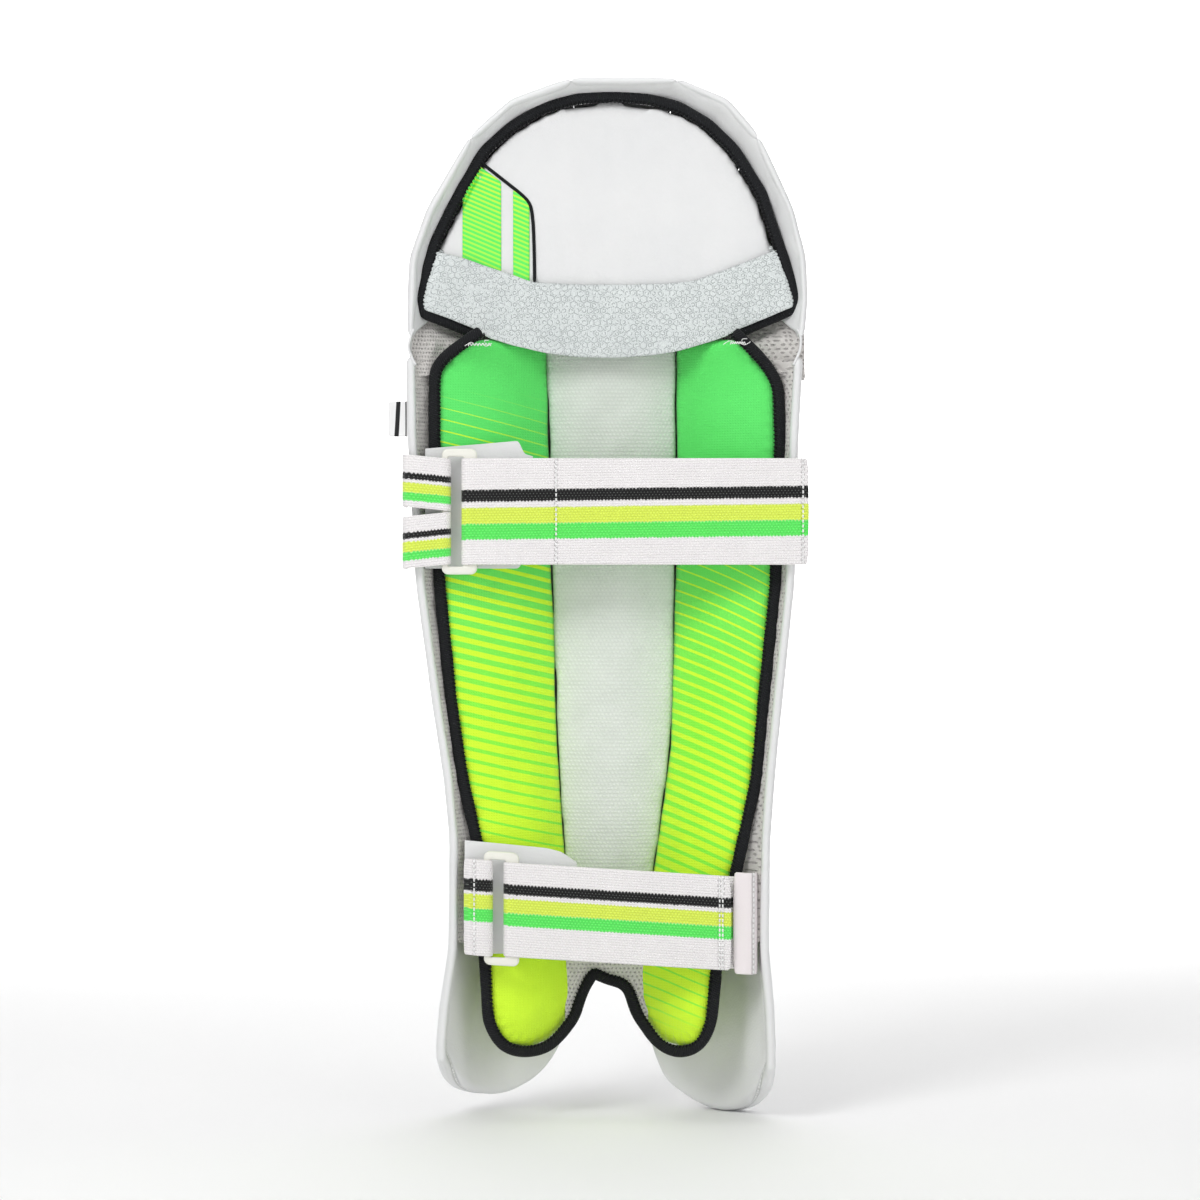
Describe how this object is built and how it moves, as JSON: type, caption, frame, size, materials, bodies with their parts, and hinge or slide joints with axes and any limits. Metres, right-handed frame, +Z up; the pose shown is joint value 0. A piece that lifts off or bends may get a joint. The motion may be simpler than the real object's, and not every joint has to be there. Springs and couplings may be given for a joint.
{
  "type": "cricket leg pad",
  "caption": "Cricket leg pad for the left leg: padded white shell with a faceted knee dome, striped green liner in a leg channel, and ringed elastic hook-and-loop straps.",
  "frame": {"origin": "below the middle of the pad, on the surface it stands on", "axes": "+Z up the shin as the pad is worn, -Y towards the leg side with its straps, +Y towards the front strike face, +X to the right seen from the leg side"},
  "size_m": [0.2774, 0.1164, 0.6903],
  "materials": {
    "white_pu": "satin",
    "lining_mesh": "matte",
    "foam": "matte",
    "backing_board": "matte",
    "green_fabric": "matte",
    "channel_fabric": "matte",
    "black_tape": "matte",
    "embossed_pu": "satin",
    "print_film": "satin",
    "striped_webbing": "matte",
    "hook_and_loop": "matte",
    "ring_plastic": "satin",
    "label": "matte",
    "thread": "matte"
  },
  "bodies": {
    "shin": {"left_wing": "white_pu", "right_wing": "white_pu", "left_instep_lobe": "white_pu", "right_instep_lobe": "white_pu", "shin_bolster_1": "white_pu", "shin_bolster_2": "white_pu", "shin_bolster_3": "white_pu", "shin_bolster_4": "white_pu", "shin_bolster_5": "white_pu", "knee_front_fold": "white_pu", "calf_anchor_patch": "white_pu", "ankle_strap_tab": "white_pu", "ankle_anchor_patch": "white_pu", "left_wing_mesh": "lining_mesh", "right_wing_mesh": "lining_mesh", "left_knee_gusset": "lining_mesh", "right_knee_gusset": "lining_mesh", "liner_instep_mesh": "lining_mesh", "shin_foam_core": "foam", "shin_backing_board": "backing_board", "liner_left_bolster": "green_fabric", "liner_right_bolster": "green_fabric", "liner_channel": "channel_fabric", "liner_binding": "black_tape", "calf_strap_base": "striped_webbing", "calf_anchor_upper": "striped_webbing", "calf_anchor_lower": "striped_webbing", "ankle_strap_base": "striped_webbing", "ankle_anchor": "striped_webbing", "calf_loop_tape": "hook_and_loop", "ankle_loop_tape": "hook_and_loop", "side_label": "label", "left_waist_tack": "thread", "right_waist_tack": "thread"},
    "knee": {"knee_dome_left": "white_pu", "knee_dome_upper_left": "white_pu", "knee_dome_crown": "white_pu", "knee_dome_upper_right": "white_pu", "knee_dome_right": "white_pu", "knee_dome_front": "white_pu", "knee_foam_core": "foam", "knee_flap": "white_pu", "knee_band": "embossed_pu", "knee_flap_binding": "black_tape", "knee_print_outer": "print_film", "knee_print_inner": "print_film", "knee_piping": "black_tape"},
    "calf_ring": {"calf_ring": "ring_plastic", "calf_strap_turn": "striped_webbing"},
    "calf_tail": {"calf_strap_tail": "striped_webbing", "calf_hook_tape": "hook_and_loop"},
    "ankle_ring": {"ankle_ring": "ring_plastic", "ankle_strap_turn": "striped_webbing"},
    "ankle_tail": {"ankle_strap_tail": "striped_webbing", "ankle_hook_tape": "hook_and_loop"}
  },
  "joints": [
    {"name": "knee_flex", "type": "hinge", "parent": "shin", "child": "knee", "pos_m": [0, -0.03375, 0.51179], "axis": [1, 0, 0], "range_deg": [-5, 30], "deforming": ["knee_front_fold", "left_knee_gusset", "right_knee_gusset"]},
    {"name": "calf_ring_swing", "type": "hinge", "parent": "shin", "child": "calf_ring", "pos_m": [-0.10129, -0.05375, 0.40309], "axis": [0, 0, -1], "range_deg": [0, 35], "deforming": ["calf_strap_base"]},
    {"name": "calf_tail_peel", "type": "hinge", "parent": "calf_ring", "child": "calf_tail", "pos_m": [-0.08689, -0.05375, 0.40309], "axis": [0, 0, -1], "range_deg": [0, 110]},
    {"name": "ankle_ring_swing", "type": "hinge", "parent": "shin", "child": "ankle_ring", "pos_m": [-0.07369, -0.05375, 0.14179], "axis": [0, 0, -1], "range_deg": [0, 35], "deforming": ["ankle_strap_base"]},
    {"name": "ankle_tail_peel", "type": "hinge", "parent": "ankle_ring", "child": "ankle_tail", "pos_m": [-0.05929, -0.05375, 0.14179], "axis": [0, 0, -1], "range_deg": [0, 110]}
  ]
}
